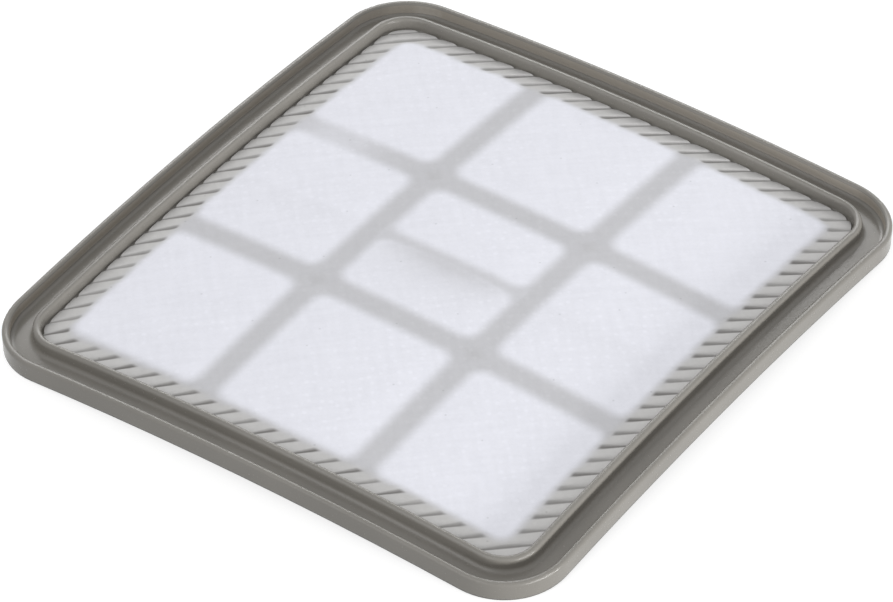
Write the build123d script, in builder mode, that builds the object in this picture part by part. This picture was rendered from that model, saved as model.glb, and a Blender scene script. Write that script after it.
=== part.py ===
from build123d import *
import os
from math import asin, atan2, cos, degrees, hypot, sin

# Vacuum exhaust filter: a crowned moulded frame with a welded sheet of nonwoven filter medium.
# +Z is up, X runs along the short sides and Y along the long ones. The origin is the middle of
# the plan, on the surface that the frame's four corners stand on. All sizes are in millimetres.

# Frame outline, seen from above
frame_width = 120.0
frame_length = 128.7
corner_radius = 13.2

# The whole plate is bowed over a sphere, so that its middle stands higher than its corners
crown_radius = 700.0

# Frame section, from the outer edge inwards
plate_thickness = 0.9
wall_height = 3.6
rim_thickness = 1.3
channel_width = 4.3
ridge_thickness = 1.4
ledge_width = 4.5
rim_round = 0.5
edge_break = 0.4
channel_break = 0.5

# Grid of bars under the medium
bar_width = 4.6
bar_spacing_x = 34.9
bar_spacing_y = 36.2
cell_corner_radius = 3.0

# Grip rib, on edge across the middle cell
grip_thickness = 2.2
grip_depth = 3.5
grip_break = 0.6

# Filter medium and the slanted marks that welding it leaves in its border
medium_thickness = 0.6
medium_clearance = 0.15
weld_pitch = 3.04
weld_offset = -1.1
weld_mark_width = 0.7
weld_mark_depth = 0.25
weld_angle = 47.0

# Reach of the cutting blocks past the solid that they cut
overshoot = 2.0
level_tolerance = 0.01

ridge_outside = rim_thickness + channel_width
ridge_inside = ridge_outside + ridge_thickness
medium_inset = ridge_inside + medium_clearance
window_width = frame_width - 2 * (ridge_inside + ledge_width)
window_length = frame_length - 2 * (ridge_inside + ledge_width)
medium_top = plate_thickness + medium_thickness

# Middle of a corner's round, and the crown's slope at the mean reach of the four sides
corner_x = frame_width / 2 - corner_radius
corner_y = frame_length / 2 - corner_radius
side_reach = (corner_x + corner_y) / 2
side_slope = asin(side_reach / crown_radius)

# The corners' farthest points stand on z = 0, and the sphere's centre follows from them
corner_slope = asin(hypot(corner_x, corner_y) / crown_radius)
corner_turn = asin((side_reach + corner_radius) / crown_radius) - side_slope
tip_slope = corner_slope + corner_turn
tip_reach = crown_radius * sin(tip_slope)
crown_centre = Vector(0, 0, -crown_radius * cos(tip_slope))
corner_direction = Vector(corner_x, corner_y, crown_radius * cos(corner_slope))


def outline(inset):
    """Rounded rectangle of the frame's plan, moved inwards by inset."""
    with BuildSketch() as plan:
        RectangleRounded(frame_width - 2 * inset, frame_length - 2 * inset, corner_radius - inset)
    return plan.sketch


def crowned(plan, low, high):
    """Upright block over a plan, cut to the spherical layer between two heights above the underside."""
    spread = degrees(tip_slope + overshoot / crown_radius)
    start = Plane(crown_centre, x_dir=(1, 0, 0), z_dir=(0, -1, 0)).rotated((-spread, 0, 0))
    with BuildPart() as block:
        add(plan)
        extrude(amount=tip_reach, both=True)
        with BuildSketch(start):
            with BuildLine():
                lower = CenterArc((0, 0), crown_radius + low, 90 - spread, 2 * spread)
                upper = CenterArc((0, 0), crown_radius + high, 90 - spread, 2 * spread)
                Line(lower @ 0, upper @ 0)
                Line(lower @ 1, upper @ 1)
            make_face()
        revolve(axis=Axis(crown_centre, (1, 0, 0)), revolution_arc=2 * spread, mode=Mode.INTERSECT)
    return block.part


def section_band(outer_inset, inner_inset, low, high):
    """Part of the rim's section between two insets and two heights, with the sphere's centre as origin."""
    middle = side_reach + corner_radius - (outer_inset + inner_inset) / 2
    with BuildSketch() as band:
        Circle(crown_radius + high)
        Circle(crown_radius + low, mode=Mode.SUBTRACT)
        with Locations((middle, crown_radius)):
            Rectangle(inner_inset - outer_inset, tip_reach, mode=Mode.INTERSECT)
    return band.sketch


def section_plane(across):
    """Plane through the sphere's centre and a corner's middle, turned so that walls in it stand upright."""
    normal = across.cross(corner_direction)
    outwards = corner_direction.cross(normal).rotate(Axis((0, 0, 0), normal), degrees(side_slope))
    return Plane(crown_centre, x_dir=outwards, z_dir=normal)


def carried(start, direction, arc):
    """The rim's section, carried from a plane round an axis through the sphere's centre."""
    with BuildPart() as run:
        with BuildSketch(start):
            add(rim_section.sketch)
        revolve(axis=Axis(crown_centre, direction), revolution_arc=arc)
    return run.part


def at_height(shapes, centre, height):
    """Those of a list of edges or vertices whose middle lies on the crown at a height."""
    return shapes.filter_by(
        lambda shape: abs((shape.center() - centre).length - crown_radius - height) < level_tolerance
    )


# Section of the rim, the channel and the ridge, with broken edges and a round outer one
with BuildSketch() as rim_section:
    add(section_band(0, ridge_inside, -overshoot, wall_height))
    channel = section_band(rim_thickness, ridge_outside, plate_thickness, wall_height + overshoot)
    add(channel, mode=Mode.SUBTRACT)
    chamfer(at_height(rim_section.vertices(), Vector(), plate_thickness), channel_break)
    top_corners = at_height(rim_section.vertices(), Vector(), wall_height).sort_by(Axis.X)
    chamfer(top_corners[:-1], edge_break)
    fillet(rim_section.vertices().group_by(Axis.X)[-1].sort_by(Axis.Y)[-1], rim_round)

# Openings between the bars, with rounded corners
with BuildSketch() as cells:
    Rectangle(window_width, window_length)
    with GridLocations(bar_spacing_x, 0, 2, 1):
        Rectangle(bar_width, window_length, mode=Mode.SUBTRACT)
    with GridLocations(0, bar_spacing_y, 1, 2):
        Rectangle(window_width, bar_width, mode=Mode.SUBTRACT)
    fillet(cells.vertices(), cell_corner_radius)

# The grip rib runs from the middle of one bar to the middle of the next, with round ends
with BuildSketch() as grip_plan:
    SlotOverall(bar_spacing_x, grip_thickness)

# The section is carried over the crown along each side and round each corner
long_plane = section_plane(Vector(1, 0, 0))
short_plane = section_plane(Vector(0, 1, 0))
long_side = carried(long_plane, (1, 0, 0), 2 * degrees(atan2(corner_direction.Y, corner_direction.Z)))
short_side = carried(short_plane, (0, -1, 0), 2 * degrees(atan2(corner_direction.X, corner_direction.Z)))
corner = carried(long_plane, corner_direction, long_plane.z_dir.get_angle(short_plane.z_dir))
back_corners = [corner, mirror(corner, about=Plane.YZ)]
front_corners = [mirror(run, about=Plane.XZ) for run in back_corners]
sides = [long_side, mirror(long_side, about=Plane.YZ), short_side, mirror(short_side, about=Plane.XZ)]

# The frame: a ring of those runs, closed by a plate with its grid of bars and trimmed to one underside
with BuildPart() as frame:
    add(sides + back_corners + front_corners, clean=False)
    add(crowned(outline(ridge_inside - ridge_thickness / 2), -2 * overshoot, plate_thickness))
    add(crowned(outline(-overshoot), -3 * overshoot, 0), mode=Mode.SUBTRACT)
    add(cells.sketch)
    extrude(amount=tip_reach, both=True, mode=Mode.SUBTRACT)
    add(crowned(grip_plan.sketch, -grip_depth, plate_thickness))
    chamfer(at_height(frame.edges(), crown_centre, -grip_depth), grip_break)

# Slanted strips over the border of the medium, outside the window
with BuildSketch() as weld_marks:
    strip_count = 2 * int(tip_reach / weld_pitch) + 1
    with Locations(Location((0, 0, 0), (0, 0, -weld_angle))):
        with Locations((weld_offset, 0)):
            with GridLocations(weld_pitch, 0, strip_count, 1):
                Rectangle(weld_mark_width, 2 * tip_reach)
    add(outline(ridge_inside), mode=Mode.INTERSECT)
    Rectangle(window_width, window_length, mode=Mode.SUBTRACT)

# The medium: one sheet laid on the ledge and bars, pressed in along the weld marks
with BuildPart() as filter_medium:
    add(crowned(outline(medium_inset), plate_thickness, medium_top))
    add(crowned(weld_marks.sketch, medium_top - weld_mark_depth, medium_top + overshoot), mode=Mode.SUBTRACT)

os.makedirs("parts", exist_ok=True)

frame.part.label = "frame"
export_step(frame.part, "parts/frame.step")

filter_medium.part.label = "filter_medium"
export_step(filter_medium.part, "parts/filter_medium.step")
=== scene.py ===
import math

import bpy
import numpy as np
from bpy.props import FloatProperty, FloatVectorProperty, IntProperty, PointerProperty
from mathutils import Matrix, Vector


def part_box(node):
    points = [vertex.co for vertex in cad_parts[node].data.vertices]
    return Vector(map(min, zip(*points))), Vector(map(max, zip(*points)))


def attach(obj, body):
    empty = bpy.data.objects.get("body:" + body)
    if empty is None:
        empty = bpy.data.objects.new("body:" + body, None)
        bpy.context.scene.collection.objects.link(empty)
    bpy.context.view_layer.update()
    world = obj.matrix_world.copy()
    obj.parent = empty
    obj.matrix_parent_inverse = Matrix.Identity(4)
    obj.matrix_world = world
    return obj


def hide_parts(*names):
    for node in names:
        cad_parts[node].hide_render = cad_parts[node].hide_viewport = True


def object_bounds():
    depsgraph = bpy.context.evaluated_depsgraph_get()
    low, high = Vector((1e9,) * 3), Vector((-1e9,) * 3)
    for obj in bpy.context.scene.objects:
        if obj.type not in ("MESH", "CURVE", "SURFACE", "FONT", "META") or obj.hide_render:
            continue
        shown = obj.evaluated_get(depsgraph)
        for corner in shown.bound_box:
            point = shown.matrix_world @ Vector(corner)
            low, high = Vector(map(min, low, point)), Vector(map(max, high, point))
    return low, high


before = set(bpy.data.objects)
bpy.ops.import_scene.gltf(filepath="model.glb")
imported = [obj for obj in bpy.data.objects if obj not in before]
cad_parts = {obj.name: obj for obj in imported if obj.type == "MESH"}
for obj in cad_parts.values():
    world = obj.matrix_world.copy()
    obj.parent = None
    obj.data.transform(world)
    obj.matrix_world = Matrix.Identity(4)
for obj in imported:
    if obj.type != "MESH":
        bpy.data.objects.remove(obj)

bl_info = {
    "name": "Vacuum exhaust filter",
    "version": (1, 0, 0),
    "blender": (4, 5, 0),
    "location": "View3D > Sidebar > Exhaust filter",
    "description": "Dresses a crowned exhaust filter: moulded frame, welded nonwoven and white studio",
    "category": "Object",
}

MM = 0.001
PHOTO_WIDTH = 893
SENSOR_WIDTH = 36.0
cad_low, cad_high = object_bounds()
medium_low, medium_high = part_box("filter_medium")

# Lines of the sheet's upper grid for each line of its lower one
GRID_RATIO = 3

# Polypropylene, for the frame and for the fibres
POLYPROPYLENE_IOR = 1.49

# Patterns of the plastic: unevenness from the melt's flow, the tool's etch and the round of its edges
FLOW_SIZE = 18.0 * MM
ETCH_SIZE = 0.45 * MM
EDGE_ROUND = 0.9 * MM

# Patterns of the nonwoven
TUFT_SIZE = 0.6 * MM
STREAK_LENGTH = 9.0 * MM
STREAK_WIDTH = 1.4 * MM
BOND_SPACING = 2.4 * MM
PATCH_SIZE = 12.0 * MM
FLECK_SPACING = 15.0 * MM

# The floor's half width, and the air between it and the frame
FLOOR_REACH = 3.0
FLOOR_GAP = 0.05 * MM

# Width, height and place of each softbox
KEY_BOX = (0.6, 0.3, (-0.46, 0.6, 0.46))
FILL_BOX = (0.6, 0.4, (-0.1, -0.6, 0.55))
SIDE_BOX = (0.6, 0.1, (0.8, -0.1, 0.06))


def linear(hex_colour):
    """Linear RGB of an sRGB hex colour."""
    srgb = np.array([int(hex_colour[i:i + 2], 16) / 255 for i in (1, 3, 5)])
    return tuple(np.where(srgb <= 0.04045, srgb / 12.92, ((srgb + 0.055) / 1.055) ** 2.4).tolist())


def length(name, description, default):
    """A length in metres, shown in the scene's unit."""
    return FloatProperty(name=name, description=description, default=default, unit="LENGTH", precision=5)


def colour(name, description, hex_colour):
    """A colour, from its sRGB hex value."""
    return FloatVectorProperty(
        name=name, description=description, default=linear(hex_colour), subtype="COLOR", min=0.0, max=1.0
    )


class FilterSizes(bpy.types.PropertyGroup):
    """Sizes of the filter that the medium's sheet is worked out from."""

    crown_radius: length("Crown radius", "Radius of the sphere that the plate is bowed over", 700.0 * MM)
    frame_corner: length("Frame corner", "Radius of the frame's corners", 13.2 * MM)
    plate_thickness: length("Plate thickness", "Thickness of the frame's plate, ledge and bars", 0.9 * MM)
    medium_thickness: length("Medium thickness", "Thickness of the nonwoven sheet", 0.6 * MM)
    medium_corner: length("Medium corner", "Radius of the sheet's corners", 6.05 * MM)
    ledge_cover: length("Ledge cover", "Width of the sheet's border that is welded to the ledge", 4.35 * MM)
    bar_width: length("Bar width", "Width of the bars under the sheet", 4.6 * MM)
    bar_spacing_x: length("Bar spacing X", "Distance between the two bars along Y", 34.9 * MM)
    bar_spacing_y: length("Bar spacing Y", "Distance between the two bars along X", 36.2 * MM)
    cell_corner: length("Cell corner", "Radius of the corners of the cells", 3.0 * MM)
    grip_thickness: length("Grip thickness", "Thickness of the grip rib under the middle cell", 2.2 * MM)
    weld_pitch: length("Weld pitch", "Distance between the slanted weld marks", 3.04 * MM)
    weld_offset: length("Weld offset", "Place of the middle weld mark", -1.1 * MM)
    weld_angle: FloatProperty(name="Weld angle", description="Turn of the weld marks from the X axis",
                              default=math.radians(43.0), subtype="ANGLE")
    weld_press: length("Weld press", "Depth by which welding presses the border", 0.28 * MM)
    weld_rise: length("Weld rise", "Height of the strips between the weld marks", 0.26 * MM)
    weld_notch: length("Weld notch", "Depth by which the sheet's edge is drawn in before a mark", 0.5 * MM)
    cell_puff: length("Cell puff", "Height by which the sheet stands proud over a cell", 0.12 * MM)
    show_shift: length("Show shift", "How far towards +Y the bars along X show through the sheet", 0.45 * MM)
    show_turn: FloatProperty(name="Show turn", description="Turn of the bars along X where they show through",
                             default=math.radians(-0.8), subtype="ANGLE")
    rest_gap: length("Rest gap", "Air between the sheet and the ledge", 0.02 * MM)
    cells_across: IntProperty(name="Cells across", description="Coarse grid cells along X", default=90, min=8)
    cells_along: IntProperty(name="Cells along", description="Coarse grid cells along Y", default=98, min=8)


class FilterColours(bpy.types.PropertyGroup):
    """Colours of the filter's materials."""

    plastic: colour("Plastic", "Warm grey of the moulded frame", "#807d77")
    # Painted light: the rim's inside face is painted lighter and warmer for the light that comes through it
    painted_through_light: colour("Thin wall", "Frame where light comes through the rim", "#a0978a")
    cloth: colour("Cloth", "Nonwoven over an open cell", "#eaebf3")
    # The grey bar seen through the sheet, with painted shade where the bar keeps light from coming up through
    # it
    cloth_on_bar_shaded: colour("Cloth on a bar", "Nonwoven with the grey bar showing through", "#c1c1c4")
    cloth_welded: colour("Welded cloth", "Nonwoven pressed on to the grey ledge", "#c6c5c4")
    # Partly the melted mark, partly painted shadow under the lifted edge of the strip beside it
    weld_mark_shadow: colour("Weld mark", "Nonwoven melted through at a mark", "#7a7876")
    floor: colour("Floor", "Pale studio floor, before its glow", "#a8a8a8")


class FilterStudio(bpy.types.PropertyGroup):
    """Camera and light of the studio."""

    azimuth: FloatProperty(name="Azimuth", description="Turn of the camera from the -Y side",
                           default=math.radians(35.208), subtype="ANGLE")
    elevation: FloatProperty(name="Elevation", description="Height of the camera above the horizon",
                             default=math.radians(40.507), subtype="ANGLE")
    distance: length("Distance", "Distance of the camera from the origin along its view", 987.086 * MM)
    aim_right: length("Aim right", "Place of the camera to the right of the origin", -1.03 * MM)
    aim_up: length("Aim up", "Place of the camera above the origin, across its view", -2.121 * MM)
    focal_pixels: FloatProperty(name="Focal length", description="Focal length in pixels of the image",
                                default=5417.267)
    sky: FloatProperty(name="Sky", description="Strength of the even light from all round", default=0.635)
    key: FloatProperty(name="Key", description="Power of the softbox above and behind, in watts", default=2.4)
    side: FloatProperty(name="Side", description="Power of the softbox on the +X side, in watts", default=5.6)
    fill: FloatProperty(name="Fill", description="Power of the softbox on the -Y side, in watts", default=1.1)
    floor_glow: FloatProperty(name="Floor glow", description="White that the floor adds for the camera",
                              default=0.75)


def add_node(tree, kind, inputs=None, **settings):
    """Adds a node with its settings; each input is a socket to link from or a constant."""
    made = tree.nodes.new(kind)
    for name, value in settings.items():
        setattr(made, name, value)
    for key, value in (inputs or {}).items():
        if isinstance(value, bpy.types.NodeSocket):
            tree.links.new(value, made.inputs[key])
        else:
            made.inputs[key].default_value = value
    return made


def new_material(name):
    """A material with an empty node tree."""
    material = bpy.data.materials.new(name)
    material.use_nodes = True
    material.node_tree.nodes.clear()
    return material, material.node_tree


def rgba(rgb):
    """A colour with full alpha, as a colour socket takes it."""
    return (*rgb, 1.0)


def step(low, high, value):
    """Smooth ramp 3t^2 - 2t^3, from 0 where value is low to 1 where it is high."""
    t = np.clip((value - low) / (high - low), 0.0, 1.0)
    return t * t * (3.0 - 2.0 * t)


def scatter(index):
    """A fixed number from 0 to 1 for each index: the fraction of a large sine."""
    return np.modf(np.abs(np.sin(index * 12.9898 + 4.1) * 437.585))[0]


def medium_plan(sizes, across, along):
    """Plan points of the sheet on a grid of two parameters, with rounded corners.

    In a corner's square, a and b run from 0 to 1 outwards. a becomes a sqrt(1 - b^2 / 2) and b becomes
    b sqrt(1 - a^2 / 2), which takes the square to a quarter disc. Elsewhere the grid is left square.
    """
    x, y = np.meshgrid(
        np.linspace(medium_low.x, medium_high.x, across + 1),
        np.linspace(medium_low.y, medium_high.y, along + 1),
        indexing="ij",
    )
    radius = sizes.medium_corner
    a = np.clip((np.abs(x) - medium_high.x) / radius + 1.0, 0.0, 1.0)
    b = np.clip((np.abs(y) - medium_high.y) / radius + 1.0, 0.0, 1.0)
    x = x - np.sign(x) * radius * a * (1.0 - np.sqrt(1.0 - b * b / 2.0))
    y = y - np.sign(y) * radius * b * (1.0 - np.sqrt(1.0 - a * a / 2.0))
    return notched(sizes, x, y)


def notched(sizes, x, y):
    """Draws the sheet's edge in, more and more from one weld mark to the next.

    The pull is along the outward normal n of the rounded outline: p - n notch t^1.5, where t runs from 0 to 1
    between two marks. It fades out 1.4 mm inside the edge.
    """
    radius = sizes.medium_corner
    qx = np.maximum(np.abs(x) - medium_high.x + radius, 0.0)
    qy = np.maximum(np.abs(y) - medium_high.y + radius, 0.0)
    reach = np.hypot(qx, qy) + 1e-9
    seam = weld_seam(sizes, x, y)
    pull = sizes.weld_notch * (seam - np.floor(seam)) ** 1.5 * step(1.4 * MM, 0.0, radius - reach)
    return x - np.sign(x) * qx / reach * pull, y - np.sign(y) * qy / reach * pull


def weld_seam(sizes, x, y):
    """Count of weld marks across their own direction: (x sin a - y cos a - offset) / pitch."""
    across = x * math.sin(sizes.weld_angle) - y * math.cos(sizes.weld_angle)
    return (across - sizes.weld_offset) / sizes.weld_pitch


def rounded_distance(x, y, half_x, half_y, radius):
    """Distance from a rounded rectangle's edge, negative inside it.

    With q = |p| - half size + radius, it is the length of the positive part of q, plus the larger of q's
    two parts where both are negative, less the radius.
    """
    qx, qy = np.abs(x) - half_x + radius, np.abs(y) - half_y + radius
    return np.hypot(np.maximum(qx, 0.0), np.maximum(qy, 0.0)) + np.minimum(np.maximum(qx, qy), 0.0) - radius


def cell_distance(sizes, x, y, rib):
    """Distance from the nearest cell's edge, negative over its opening.

    Each half of the window holds half of the middle cell and one outer cell, so a point is taken to the
    middle of its own cell and measured against that cell's rounded rectangle. A rib of some thickness along
    X divides the middle cell in two.
    """
    measures = []
    for value, spacing, half_window, gap in (
        (x, sizes.bar_spacing_x, medium_high.x - sizes.ledge_cover, None),
        (y, sizes.bar_spacing_y, medium_high.y - sizes.ledge_cover, rib),
    ):
        inner, outer = (spacing - sizes.bar_width) / 2, (spacing + sizes.bar_width) / 2
        in_middle = np.abs(value) < spacing / 2
        middle = np.where(in_middle, 0.0, np.sign(value) * (outer + half_window) / 2)
        half = np.where(in_middle, inner, (half_window - outer) / 2)
        if gap:
            divided = in_middle & (np.abs(x) < sizes.bar_spacing_x / 2)
            middle = np.where(divided, np.copysign((inner + gap / 2) / 2, value), middle)
            half = np.where(divided, (inner - gap / 2) / 2, half)
        measures.append((value - middle, half))
    (u, half_u), (v, half_v) = measures
    return rounded_distance(u, v, half_u, half_v, sizes.cell_corner)


def medium_fields(sizes, x, y):
    """What the sheet lies on and how it is pressed, at each plan point.

    seam counts weld marks. reach runs from 0 at the sheet's edge to 1 at the window. weld is 1 in the
    pressed border and ends a little farther in or out from mark to mark. under is 1 where two bars cross, a
    little less along a bar and less again over the grip rib: the grey bars seen through the sheet, painted
    darker as shade where they keep light from coming up through it. Below the rib it is painted shade alone,
    the shade of the rib's deep face, which fades slowly towards -Y. One bar fades towards the -X ledge,
    where the sheet stands off it. open grows from 0 at a cell's edge to 1 in its middle, and inset is the
    distance from the sheet's edge.
    """
    inset = -rounded_distance(x, y, medium_high.x, medium_high.y, sizes.medium_corner)
    past = rounded_distance(
        x, y, medium_high.x - sizes.ledge_cover, medium_high.y - sizes.ledge_cover, sizes.cell_corner
    )
    shown = y - sizes.show_shift - math.tan(sizes.show_turn) * x
    cell = cell_distance(sizes, x, shown, 0.0)
    part = cell_distance(sizes, x, y, sizes.grip_thickness)
    # Painted shade of the grip rib's deep face, seen through the sheet: it starts just below the rib and
    # fades towards -Y
    shade = step(1.6 * MM, -0.4 * MM, y) * np.exp(np.minimum(y + 1.8 * MM, 0.0) / (4.2 * MM))
    shade = shade * (1.0 - 0.9 * np.minimum(np.abs(x) / (16.0 * MM), 1.0) ** 2)
    shade = shade * step(0.8 * MM, -0.8 * MM, cell)
    seam = weld_seam(sizes, x, y)
    ragged = 0.5 * MM * (scatter(np.round(seam)) - 0.5)
    # The bars seen through the sheet, painted darker as shade where they keep light from coming up through it
    bar = 0.87 * step(-1.7 * MM, 1.3 * MM, cell) + 0.13 * step(2.4 * MM, 4.2 * MM, cell)
    from_faint = np.hypot(x + 39.0 * MM, y - 18.0 * MM)
    bar = bar * (1.0 - 0.5 * np.exp(-from_faint ** 2 / (9.0 * MM) ** 2))
    grip = 0.7 * step(-1.7 * MM, 1.1 * MM, part) * step(8.0 * MM, 5.0 * MM, np.abs(y))
    return {
        "seam": seam,
        "reach": np.clip(inset / (inset + np.maximum(past, 0.0) + 1e-9), 0.0, 1.0),
        "weld": step(-1.3 * MM, 1.0 * MM, past + ragged),
        "under": np.maximum(np.maximum(bar, grip), 0.66 * shade),
        "open": step(0.0, 7.0 * MM, -cell),
        "inset": inset,
    }


def medium_level(sizes, x, y, field):
    """Level of the sheet's upper face above the plate's underside.

    Over the window it is the plate and the sheet, with a low swell over each cell and long shallow waves. In
    the border it is pressed down, and between two marks it climbs along the diagonal and drops at the next
    mark, as shingles do.
    """
    waves = np.sin(x / (5.1 * MM) + 1.3 * np.sin(y / (9.7 * MM))) * np.sin(y / (6.3 * MM) + 0.8)
    laid = sizes.plate_thickness + sizes.medium_thickness
    middle = laid + sizes.cell_puff * field["open"] + 0.02 * MM * waves
    index = np.floor(field["seam"])
    part = field["seam"] - index
    climb = step(0.0, 0.78, part) * step(1.0, 0.86, part)
    groove = np.exp(-((np.minimum(part, 1.0 - part) / 0.09) ** 2))
    rise = sizes.weld_rise * (0.7 + 0.5 * scatter(index))
    border = laid - sizes.weld_press
    border = border + rise * climb * (0.5 + 0.6 * field["reach"]) - 0.12 * MM * groove
    border = border - 0.12 * MM * step(0.35 * MM, 0.0, field["inset"])
    return middle * (1.0 - field["weld"]) + border * field["weld"]


def crown_height(sizes, x, y, level):
    """Height of a point at a level above the plate's underside.

    z = centre + sqrt((crown radius + level)^2 - x^2 - y^2), where the CAD sheet's highest point gives the
    height of the sphere's centre.
    """
    centre = medium_high.z - sizes.crown_radius - sizes.plate_thickness - sizes.medium_thickness
    return centre + np.sqrt((sizes.crown_radius + level) ** 2 - x * x - y * y)


def grid_faces(first, across, along, upwards):
    """Quads of a grid of (across + 1) x (along + 1) points, wound to face up or down."""
    index = first + np.arange((across + 1) * (along + 1)).reshape(across + 1, along + 1)
    a, b, c, d = index[:-1, :-1], index[1:, :-1], index[1:, 1:], index[:-1, 1:]
    order = (a, b, c, d) if upwards else (d, c, b, a)
    return np.stack(order, axis=-1).reshape(-1, 4)


def grid_border(first, across, along):
    """Indices round a grid's edge, counter-clockwise from above, starting at its lowest corner."""
    index = first + np.arange((across + 1) * (along + 1)).reshape(across + 1, along + 1)
    return np.concatenate((index[:-1, 0], index[-1, :-1], index[:0:-1, -1], index[0, :0:-1]))


def medium_mesh(sizes):
    """The sheet as one closed mesh: a fine upper grid, a coarse lower grid and an edge wall between them.

    The lower grid has a third of the upper one's lines, so each face of the wall takes three upper edges
    and one lower edge.
    """
    across, along, ratio = sizes.cells_across, sizes.cells_along, GRID_RATIO
    x, y = medium_plan(sizes, ratio * across, ratio * along)
    field = medium_fields(sizes, x, y)
    level = medium_level(sizes, x, y, field)
    upper = np.stack((x, y, crown_height(sizes, x, y, level)), axis=-1).reshape(-1, 3)
    u, v = x[::ratio, ::ratio], y[::ratio, ::ratio]
    lower = np.stack((u, v, crown_height(sizes, u, v, sizes.plate_thickness + sizes.rest_gap)), axis=-1)
    lower = lower.reshape(-1, 3)
    top_edge = grid_border(0, ratio * across, ratio * along)
    low_edge = grid_border(len(upper), across, along)
    following = np.roll(top_edge, -ratio)
    wall = np.stack(
        (low_edge, np.roll(low_edge, -1), following[::ratio], top_edge[2::ratio], top_edge[1::ratio],
         top_edge[::ratio]), axis=-1
    )
    faces = grid_faces(0, ratio * across, ratio * along, True).tolist()
    faces += grid_faces(len(upper), across, along, False).tolist() + wall.tolist()
    mesh = bpy.data.meshes.new("nonwoven_sheet")
    mesh.from_pydata(np.concatenate((upper, lower)), [], faces)
    for name in ("seam", "reach", "weld", "under"):
        values = np.concatenate((field[name].ravel(), field[name][::ratio, ::ratio].ravel()))
        mesh.attributes.new(name, "FLOAT", "POINT").data.foreach_set("value", values.astype(np.float32))
    mesh.shade_smooth()
    mesh.set_sharp_from_angle(angle=math.radians(60))
    mesh.update()
    return mesh


def moulded_plastic(sizes, colours):
    """Polypropylene, moulded in a finely etched tool.

    The etched tool leaves a satin face: soft broad highlights on the rounded edges, a faint grain and a very
    slight unevenness of shade from the flow of the melt.
    """
    material, tree = new_material("moulded_polypropylene")
    place = add_node(tree, "ShaderNodeTexCoord").outputs["Object"]
    flow = add_node(tree, "ShaderNodeTexNoise", {"Vector": place, "Scale": 1 / FLOW_SIZE, "Detail": 2.0})
    shade = add_node(tree, "ShaderNodeMapRange", {
        "Value": flow.outputs["Fac"], "From Min": 0.3, "From Max": 0.7, "To Min": 0.95, "To Max": 1.05,
    })
    tint = add_node(tree, "ShaderNodeVectorMath", {0: colours.plastic, 1: shade.outputs["Result"]},
                    operation="MULTIPLY")
    # The etch is about 0.1 mm, too fine to show, so it is drawn coarser
    etch = add_node(tree, "ShaderNodeTexNoise", {"Vector": place, "Scale": 1 / ETCH_SIZE, "Detail": 3.0})
    # Moulded edges are never crisp: light runs over them as over a small round
    rounded = add_node(tree, "ShaderNodeBevel", {"Radius": EDGE_ROUND}, samples=8)
    # The rim's inside face leans out to leave its tool, so it catches light from above: the normal of upright
    # faces is turned up from 1.1 to 3 mm inside the outline. reach is the distance from the middle of a
    # corner's round, or from the line between two of them
    radius = sizes.frame_corner
    size = add_node(tree, "ShaderNodeVectorMath", {0: place}, operation="ABSOLUTE").outputs["Vector"]
    corner = (cad_high.x - radius, cad_high.y - radius, 1.0)
    past = add_node(tree, "ShaderNodeVectorMath", {0: size, 1: corner}, operation="SUBTRACT")
    past = add_node(tree, "ShaderNodeVectorMath", {0: past.outputs["Vector"], 1: (0.0, 0.0, 0.0)},
                    operation="MAXIMUM")
    reach = add_node(tree, "ShaderNodeVectorMath", {0: past.outputs["Vector"]}, operation="LENGTH")
    reach = reach.outputs["Value"]
    outer = add_node(tree, "ShaderNodeMapRange", {
        "Value": reach, "From Min": radius - 1.1 * MM, "From Max": radius - 1.4 * MM,
    }).outputs["Result"]
    inner = add_node(tree, "ShaderNodeMapRange", {
        "Value": reach, "From Min": radius - 3.0 * MM, "From Max": radius - 2.0 * MM,
    }).outputs["Result"]
    lean_and_glow = add_node(tree, "ShaderNodeMath", {0: outer, 1: inner}, operation="MULTIPLY").outputs["Value"]
    facing = add_node(tree, "ShaderNodeNewGeometry").outputs["True Normal"]
    facing = add_node(tree, "ShaderNodeSeparateXYZ", {"Vector": facing}).outputs["Z"]
    facing = add_node(tree, "ShaderNodeMath", {0: facing}, operation="ABSOLUTE").outputs["Value"]
    upright = add_node(tree, "ShaderNodeMapRange", {
        "Value": facing, "From Min": 0.75, "From Max": 0.3,
    }).outputs["Result"]
    lean_and_glow = add_node(tree, "ShaderNodeMath", {0: lean_and_glow, 1: upright}, operation="MULTIPLY").outputs["Value"]
    lift = add_node(tree, "ShaderNodeCombineXYZ", {"Z": lean_and_glow}).outputs["Vector"]
    # That thin face is also painted lighter and warmer: painted light for the light that comes through it
    lit = add_node(tree, "ShaderNodeMix", {0: lean_and_glow, 6: tint.outputs["Vector"], 7: rgba(colours.painted_through_light)},
                   data_type="RGBA").outputs[2]
    turned = add_node(tree, "ShaderNodeVectorMath", {0: rounded.outputs["Normal"], 1: lift}, operation="ADD")
    turned = add_node(tree, "ShaderNodeVectorMath", {0: turned.outputs["Vector"]}, operation="NORMALIZE")
    relief = add_node(tree, "ShaderNodeBump", {
        "Strength": 0.12, "Distance": 0.05 * MM, "Height": etch.outputs["Fac"],
        "Normal": turned.outputs["Vector"],
    })
    gloss = add_node(tree, "ShaderNodeMapRange", {
        "Value": etch.outputs["Fac"], "From Min": 0.3, "From Max": 0.7, "To Min": 0.19, "To Max": 0.28,
    })
    shader = add_node(tree, "ShaderNodeBsdfPrincipled", {
        "Base Color": lit, "Roughness": gloss.outputs["Result"], "IOR": POLYPROPYLENE_IOR,
        "Normal": relief.outputs["Normal"],
    })
    add_node(tree, "ShaderNodeOutputMaterial", {"Surface": shader.outputs["BSDF"]})
    return material


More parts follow.
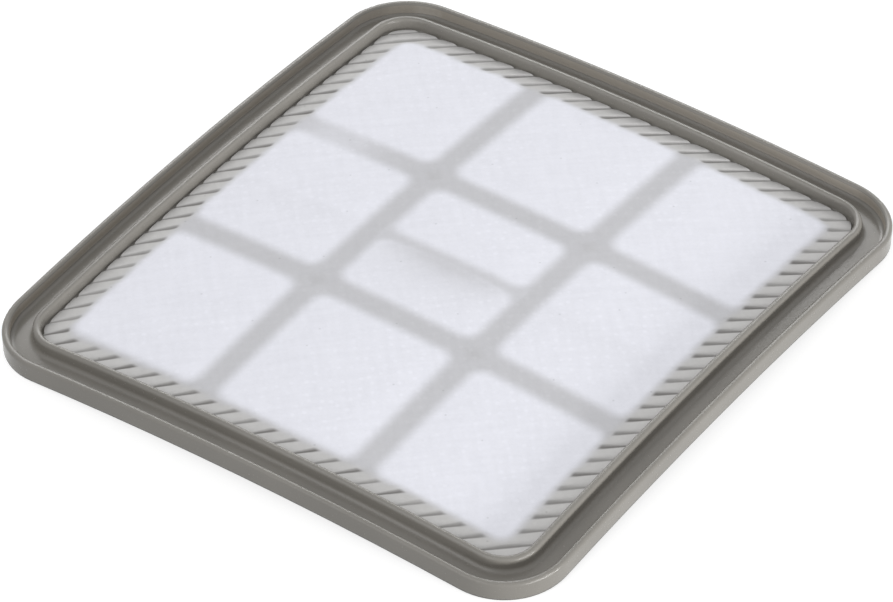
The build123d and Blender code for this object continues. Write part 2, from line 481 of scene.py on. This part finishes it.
def bonded_nonwoven(sizes, colours):
    """Spunbonded polypropylene nonwoven, welded round its border.

    Fine loose fibres make it matt and evenly white, a little blue, with tiny bond points, painted a little
    lighter as their glint, and the odd dark fleck. The bars show through it as soft grey bands, painted
    darker as shade. Along the weld it is pressed grey and half clear, and each mark is a dark line that
    widens
    towards the window: partly melted fibre, partly painted shadow under the lifted edge of the next strip.
    """
    material, tree = new_material("bonded_nonwoven")
    place = add_node(tree, "ShaderNodeTexCoord").outputs["Object"]
    seam, reach, weld, under = [
        add_node(tree, "ShaderNodeAttribute", attribute_name=name).outputs["Fac"]
        for name in ("seam", "reach", "weld", "under")
    ]
    # Each mark has its own number, which gives it its own strength
    number = add_node(tree, "ShaderNodeMath", {0: seam}, operation="ROUND").outputs["Value"]
    chance = add_node(tree, "ShaderNodeTexWhiteNoise", {"W": number}, noise_dimensions="1D").outputs["Value"]
    offset = add_node(tree, "ShaderNodeMath", {0: seam, 1: number}, operation="SUBTRACT").outputs["Value"]
    away = add_node(tree, "ShaderNodeMath", {0: offset}, operation="ABSOLUTE").outputs["Value"]
    # Half a mark's width as a part of the pitch: 0.15 mm at the sheet's edge, 0.7 mm at the window
    half = add_node(tree, "ShaderNodeMapRange", {"Value": reach, "To Min": 0.05, "To Max": 0.24})
    line = add_node(tree, "ShaderNodeMapRange", {
        "Value": away, "From Max": half.outputs["Result"], "To Min": 1.0, "To Max": 0.0,
    }, interpolation_type="SMOOTHSTEP")
    power = add_node(tree, "ShaderNodeMapRange", {"Value": chance, "To Min": 0.55, "To Max": 1.0})
    mark = add_node(tree, "ShaderNodeMath", {0: line.outputs["Result"], 1: power.outputs["Result"]},
                    operation="MULTIPLY").outputs["Value"]
    inside = add_node(tree, "ShaderNodeMapRange", {"Value": weld, "From Min": 0.4, "From Max": 0.8},
                      interpolation_type="SMOOTHSTEP").outputs["Result"]
    mark = add_node(tree, "ShaderNodeMath", {0: mark, 1: inside}, operation="MULTIPLY").outputs["Value"]
    # Over the bars and the rib the cloth is painted greyer: the bar seen through it, and painted shade
    over = add_node(tree, "ShaderNodeMix", {0: under, 6: rgba(colours.cloth), 7: rgba(colours.cloth_on_bar_shaded)},
                    data_type="RGBA").outputs[2]
    pressed = add_node(tree, "ShaderNodeMix", {0: weld, 6: over, 7: rgba(colours.cloth_welded)},
                       data_type="RGBA").outputs[2]
    # The mark is darkened partly as melted fibre, partly as painted shadow under the next strip's lifted
    # edge, widest at the window
    marked = add_node(tree, "ShaderNodeMix", {0: mark, 6: pressed, 7: rgba(colours.weld_mark_shadow)},
                      data_type="RGBA").outputs[2]
    # Fibres are 0.02 mm, too fine to show, so they are drawn as tufts
    tufts = add_node(tree, "ShaderNodeTexNoise", {
        "Vector": place, "Scale": 1 / TUFT_SIZE, "Detail": 3.0, "Roughness": 0.65,
    }).outputs["Fac"]
    # The web was laid along the weld marks: faint streaks run along and across them
    laid = add_node(tree, "ShaderNodeVectorRotate", {"Vector": place, "Angle": -sizes.weld_angle},
                    rotation_type="Z_AXIS").outputs["Vector"]
    cross = tufts
    for stretch in ((STREAK_LENGTH, STREAK_WIDTH, 1.0), (STREAK_WIDTH, STREAK_LENGTH, 1.0)):
        drawn = add_node(tree, "ShaderNodeVectorMath", {0: laid, 1: stretch}, operation="DIVIDE")
        streaks = add_node(tree, "ShaderNodeTexNoise", {
            "Vector": drawn.outputs["Vector"], "Scale": 1.0, "Detail": 2.0,
        })
        cross = add_node(tree, "ShaderNodeMath", {0: cross, 1: streaks.outputs["Fac"]}, operation="ADD")
        cross = cross.outputs["Value"]
    shade = add_node(tree, "ShaderNodeMapRange", {
        "Value": cross, "From Min": 0.9, "From Max": 2.1, "To Min": 0.95, "To Max": 1.05,
    }).outputs["Result"]
    # Bond points about 1 mm across, which show in patches; their glint is painted as a slight lightening
    points = add_node(tree, "ShaderNodeTexVoronoi", {
        "Vector": laid, "Scale": 1 / BOND_SPACING, "Randomness": 0.6,
    }, voronoi_dimensions="2D").outputs["Distance"]
    patch = add_node(tree, "ShaderNodeTexNoise", {"Vector": place, "Scale": 1 / PATCH_SIZE, "Detail": 1.0})
    power = add_node(tree, "ShaderNodeMapRange", {
        "Value": patch.outputs["Fac"], "From Min": 0.4, "From Max": 0.65, "To Min": 0.01, "To Max": 0.04,
    }).outputs["Result"]
    bright = add_node(tree, "ShaderNodeMapRange", {
        "Value": points, "From Min": 0.08, "From Max": 0.24, "To Min": power, "To Max": 0.0,
    }, interpolation_type="SMOOTHSTEP").outputs["Result"]
    # Dark flecks, some 0.3 mm across
    flecks = add_node(tree, "ShaderNodeTexVoronoi", {
        "Vector": place, "Scale": 1 / FLECK_SPACING,
    }, voronoi_dimensions="2D").outputs["Distance"]
    dark = add_node(tree, "ShaderNodeMapRange", {
        "Value": flecks, "From Min": 0.007, "From Max": 0.018, "To Min": 0.15, "To Max": 0.0,
    }).outputs["Result"]
    shade = add_node(tree, "ShaderNodeMath", {0: shade, 1: bright}, operation="ADD").outputs["Value"]
    shade = add_node(tree, "ShaderNodeMath", {0: shade, 1: dark}, operation="SUBTRACT").outputs["Value"]
    tint = add_node(tree, "ShaderNodeVectorMath", {0: marked, "Scale": shade},
                    operation="SCALE").outputs["Vector"]
    relief = add_node(tree, "ShaderNodeBump", {"Strength": 0.25, "Distance": 0.08 * MM, "Height": tufts})
    shader = add_node(tree, "ShaderNodeBsdfPrincipled", {
        "Base Color": tint, "Roughness": 0.85, "IOR": POLYPROPYLENE_IOR, "Sheen Weight": 0.05,
        "Normal": relief.outputs["Normal"],
    })
    add_node(tree, "ShaderNodeOutputMaterial", {"Surface": shader.outputs["BSDF"]})
    return material


def shown_ray(tree):
    """Socket that is 1 for a ray by which something is seen: straight, mirrored or through a clear body."""
    rays = add_node(tree, "ShaderNodeLightPath").outputs
    seen = add_node(tree, "ShaderNodeMath", {0: rays["Is Camera Ray"], 1: rays["Is Glossy Ray"]},
                    operation="MAXIMUM").outputs["Value"]
    return add_node(tree, "ShaderNodeMath", {0: seen, 1: rays["Is Transmission Ray"]},
                    operation="MAXIMUM").outputs["Value"]


def white_floor(colours, glow):
    """Matt white board, which keeps the object's shadow and glows a little for the camera."""
    material, tree = new_material("white_board")
    shown = add_node(tree, "ShaderNodeMath", {0: shown_ray(tree), 1: glow}, operation="MULTIPLY")
    lit = add_node(tree, "ShaderNodeBsdfDiffuse", {"Color": rgba(colours.floor)})
    white = add_node(tree, "ShaderNodeEmission", {"Strength": shown.outputs["Value"]})
    both = add_node(tree, "ShaderNodeAddShader", {0: lit.outputs["BSDF"], 1: white.outputs["Emission"]})
    add_node(tree, "ShaderNodeOutputMaterial", {"Surface": both.outputs["Shader"]})
    return material


def white_surround(world, sky):
    """An even sky that lights at its own strength and shows as white."""
    world.use_nodes = True
    tree = world.node_tree
    tree.nodes.clear()
    strength = add_node(tree, "ShaderNodeMapRange", {"Value": shown_ray(tree), "To Min": sky})
    shown = add_node(tree, "ShaderNodeBackground", {
        "Color": (1.0, 1.0, 1.0, 1.0), "Strength": strength.outputs["Result"],
    })
    add_node(tree, "ShaderNodeOutputWorld", {"Surface": shown.outputs["Background"]})


def softbox(name, power, width, height, place, target):
    """A rectangular softbox that faces a target."""
    data = bpy.data.lights.new(name, "AREA")
    data.shape = "RECTANGLE"
    data.size = width
    data.size_y = height
    data.energy = power
    lamp = bpy.data.objects.new(name, data)
    lamp.location = place
    lamp.rotation_euler = (Vector(target) - Vector(place)).to_track_quat("-Z", "Y").to_euler()
    bpy.context.scene.collection.objects.link(lamp)


class FILTER_OT_frame(bpy.types.Operator):
    """Give the moulded frame its plastic"""

    bl_idname = "exhaust_filter.frame"
    bl_label = "Finish the frame"

    def execute(self, context):
        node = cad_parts["frame"]
        node.data.materials.clear()
        node.data.materials.append(moulded_plastic(context.scene.filter_sizes, context.scene.filter_colours))
        return {"FINISHED"}


class FILTER_OT_medium(bpy.types.Operator):
    """Lay the nonwoven sheet in the frame and weld its border"""

    bl_idname = "exhaust_filter.medium"
    bl_label = "Lay the filter medium"

    def execute(self, context):
        sheet = bpy.data.objects.new("nonwoven_sheet", medium_mesh(context.scene.filter_sizes))
        context.scene.collection.objects.link(sheet)
        sheet.data.materials.append(bonded_nonwoven(context.scene.filter_sizes, context.scene.filter_colours))
        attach(sheet, "root")
        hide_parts("filter_medium")
        return {"FINISHED"}


class FILTER_OT_stage(bpy.types.Operator):
    """Set the white floor, the light and the camera"""

    bl_idname = "exhaust_filter.stage"
    bl_label = "Set the studio"

    def execute(self, context):
        scene = context.scene
        studio = scene.filter_studio
        floor = bpy.data.meshes.new("floor")
        level = cad_low.z - FLOOR_GAP
        corners = np.array([(-1, -1), (1, -1), (1, 1), (-1, 1)]) * FLOOR_REACH
        floor.from_pydata(np.column_stack((corners, np.full(4, level))), [], [(0, 1, 2, 3)])
        floor.materials.append(white_floor(scene.filter_colours, studio.floor_glow))
        board = bpy.data.objects.new("floor", floor)
        scene.collection.objects.link(board)
        scene.world = scene.world or bpy.data.worlds.new("surround")
        white_surround(scene.world, studio.sky)
        centre = (cad_low + cad_high) / 2
        softbox("key_softbox", studio.key, *KEY_BOX, centre)
        softbox("fill_softbox", studio.fill, *FILL_BOX, centre)
        softbox("side_softbox", studio.side, *SIDE_BOX, centre)
        right = Vector((math.cos(studio.azimuth), math.sin(studio.azimuth), 0.0))
        back = Vector((
            math.sin(studio.azimuth) * math.cos(studio.elevation),
            -math.cos(studio.azimuth) * math.cos(studio.elevation),
            math.sin(studio.elevation),
        ))
        data = bpy.data.cameras.new("camera")
        data.sensor_fit = "HORIZONTAL"
        data.sensor_width = SENSOR_WIDTH
        data.lens = studio.focal_pixels / PHOTO_WIDTH * SENSOR_WIDTH
        camera = bpy.data.objects.new("camera", data)
        aim = studio.aim_right * right + studio.aim_up * back.cross(right)
        camera.location = aim + studio.distance * back
        camera.rotation_euler = (-back).to_track_quat("-Z", "Y").to_euler()
        scene.collection.objects.link(camera)
        scene.camera = camera
        scene.view_settings.view_transform = "Standard"
        return {"FINISHED"}


class FILTER_PT_sidebar(bpy.types.Panel):
    """The filter's pieces and studio, in the order in which they are made"""

    bl_idname = "FILTER_PT_sidebar"
    bl_label = "Exhaust filter"
    bl_space_type = "VIEW_3D"
    bl_region_type = "UI"
    bl_category = "Exhaust filter"

    def draw(self, context):
        for operator in OPERATORS:
            self.layout.operator(operator.bl_idname)
        for group in (context.scene.filter_sizes, context.scene.filter_colours, context.scene.filter_studio):
            box = self.layout.box()
            for name in group.__annotations__:
                box.prop(group, name)


OPERATORS = (FILTER_OT_frame, FILTER_OT_medium, FILTER_OT_stage)
CLASSES = (FilterSizes, FilterColours, FilterStudio, *OPERATORS, FILTER_PT_sidebar)


def register():
    for one in CLASSES:
        bpy.utils.register_class(one)
    bpy.types.Scene.filter_sizes = PointerProperty(type=FilterSizes)
    bpy.types.Scene.filter_colours = PointerProperty(type=FilterColours)
    bpy.types.Scene.filter_studio = PointerProperty(type=FilterStudio)


def unregister():
    del bpy.types.Scene.filter_studio
    del bpy.types.Scene.filter_colours
    del bpy.types.Scene.filter_sizes
    for one in reversed(CLASSES):
        bpy.utils.unregister_class(one)


def main():
    register()
    bpy.ops.exhaust_filter.frame()
    bpy.ops.exhaust_filter.medium()
    bpy.ops.exhaust_filter.stage()


if __name__ == "__main__":
    main()
